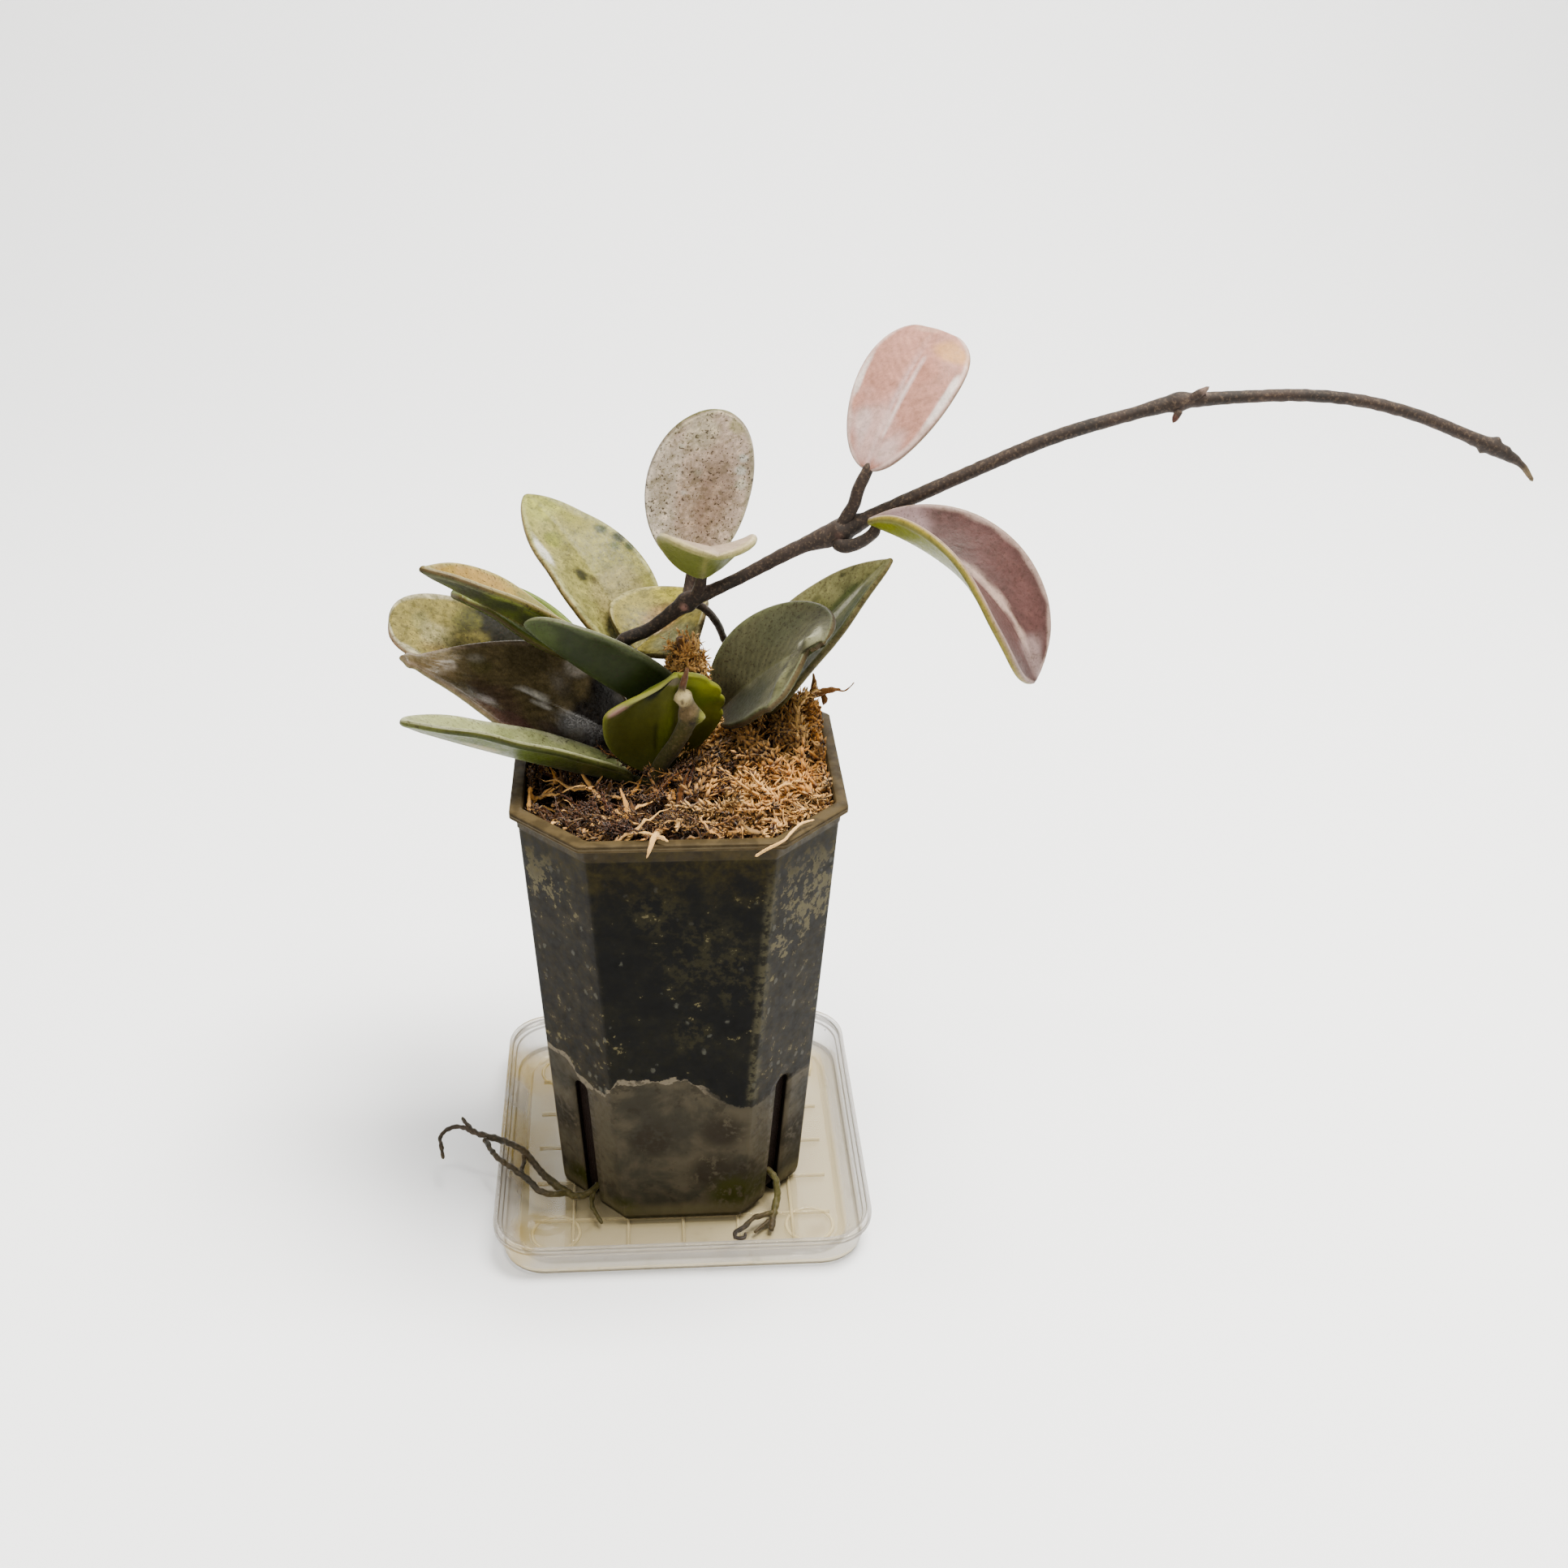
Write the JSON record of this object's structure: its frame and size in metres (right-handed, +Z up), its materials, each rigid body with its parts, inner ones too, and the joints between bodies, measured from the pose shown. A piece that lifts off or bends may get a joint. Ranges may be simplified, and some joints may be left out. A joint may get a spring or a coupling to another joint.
{
  "type": "potted wax plant",
  "caption": "Climbing wax plant with fleshy rounded leaves and one long bare vine, in a tall square cut-corner pot of moss on a clear saucer.",
  "frame": {"origin": "centre of the saucer's flat underside, on the surface it stands on", "axes": "+Z up, +X to the side that the long vine reaches, +Y to the back"},
  "size_m": [0.2712, 0.1064, 0.2241],
  "materials": {
    "clear_plastic": "clear moulded plastic with brown water marks",
    "pot_plastic": "smoky translucent plastic, algae and mineral marks inside",
    "moss": "dry shredded sphagnum moss",
    "woody_stem": "dark matt bark with fine down",
    "green_stem": "olive green to brown, matt",
    "root": "olive near the pot, brown at the tips",
    "silver_leaf": "silvery grey-green with dark specks, satin",
    "green_leaf": "light green, satin",
    "dark_leaf": "dark wine to dark green, glossy",
    "brown_leaf": "pinkish brown with specks, satin",
    "pink_leaf": "dusky pink with a silvery sheen"
  },
  "bodies": {
    "root": {"saucer": "clear_plastic", "pot": "pot_plastic", "moss": "moss", "main_vine": "woody_stem", "front_stub": "green_stem", "middle_stem": "green_stem", "right_stem": "green_stem", "left_root": "root", "right_root": "root", "leaf_left_grey": "silver_leaf", "leaf_behind_vine": "brown_leaf", "leaf_left_brown": "brown_leaf", "leaf_left_narrow": "green_leaf", "leaf_left_silver": "silver_leaf", "leaf_left_dark": "dark_leaf", "leaf_over_dark": "green_leaf", "leaf_front_left": "silver_leaf", "leaf_front": "green_leaf", "leaf_right_broad": "dark_leaf", "leaf_right_pointed": "green_leaf", "leaf_first_node_back": "silver_leaf", "leaf_first_node_front": "green_leaf", "leaf_second_node_back": "pink_leaf", "leaf_second_node_front": "pink_leaf"}
  },
  "joints": []
}
